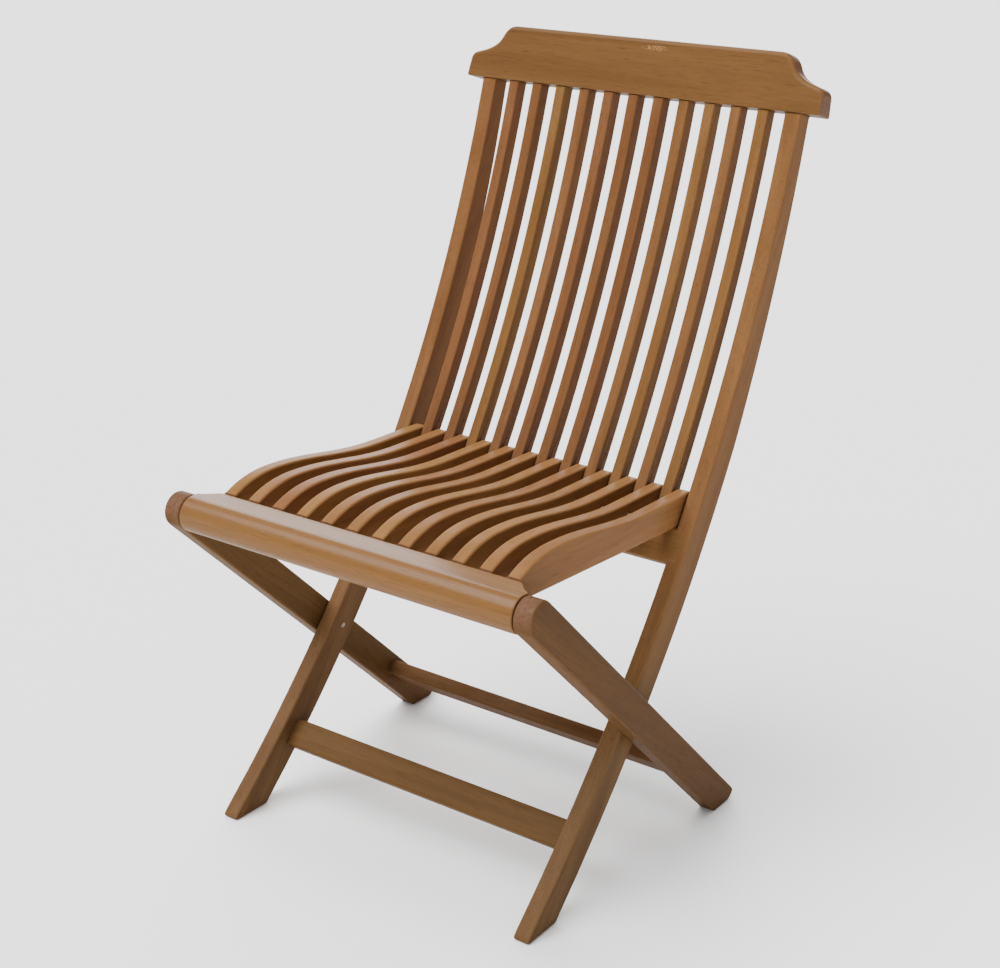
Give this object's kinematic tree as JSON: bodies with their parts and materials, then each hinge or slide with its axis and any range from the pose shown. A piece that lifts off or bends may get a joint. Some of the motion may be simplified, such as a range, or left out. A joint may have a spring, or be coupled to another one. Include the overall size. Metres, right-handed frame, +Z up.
{
  "type": "folding chair",
  "caption": "Slatted hardwood folding chair with a curved back, a waved seat whose slats rest between the back slats, and crossed legs.",
  "frame": {"origin": "middle of the open chair's footprint, on the floor", "axes": "+Z up, +Y towards the back, +X to the sitter's left"},
  "size_m": [0.485, 0.5944, 0.8998],
  "materials": {
    "back_wood": "satin",
    "top_rail_wood": "satin",
    "leg_wood": "satin",
    "seat_wood": "satin",
    "front_rail_wood": "satin",
    "steel": "satin"
  },
  "bodies": {
    "back_frame": {"left_stile": "back_wood", "right_stile": "back_wood", "back_slat_01": "back_wood", "back_slat_02": "back_wood", "back_slat_03": "back_wood", "back_slat_04": "back_wood", "back_slat_05": "back_wood", "back_slat_06": "back_wood", "back_slat_07": "back_wood", "back_slat_08": "back_wood", "back_slat_09": "back_wood", "back_slat_10": "back_wood", "back_slat_11": "back_wood", "lower_back_rail": "back_wood", "top_rail": "top_rail_wood", "front_stretcher": "back_wood", "left_pivot_pin": "steel", "right_pivot_pin": "steel", "left_pivot_washer": "steel", "right_pivot_washer": "steel"},
    "leg_frame": {"left_leg": "leg_wood", "right_leg": "leg_wood", "rear_stretcher": "leg_wood"},
    "seat": {"front_rail": "front_rail_wood", "seat_slat_01": "seat_wood", "seat_slat_02": "seat_wood", "seat_slat_03": "seat_wood", "seat_slat_04": "seat_wood", "seat_slat_05": "seat_wood", "seat_slat_06": "seat_wood", "seat_slat_07": "seat_wood", "seat_slat_08": "seat_wood", "seat_slat_09": "seat_wood", "seat_slat_10": "seat_wood", "seat_slat_11": "seat_wood", "seat_slat_12": "seat_wood", "seat_tie_rod": "steel", "left_rail_pin": "steel", "right_rail_pin": "steel"}
  },
  "joints": [
    {"name": "fold", "type": "hinge", "parent": "back_frame", "child": "leg_frame", "pos_m": [0, -0.0374, 0.188], "axis": [-1, 0, 0], "range_deg": [0, 73.4]},
    {"name": "seat_tilt", "type": "hinge", "parent": "leg_frame", "child": "seat", "pos_m": [0, -0.27674, 0.399], "axis": [1, 0, 0], "range_deg": [0, 138.43]}
  ],
  "couplings": [
    {"joint": "seat_tilt", "follows": "fold", "ratio": 1.886}
  ]
}
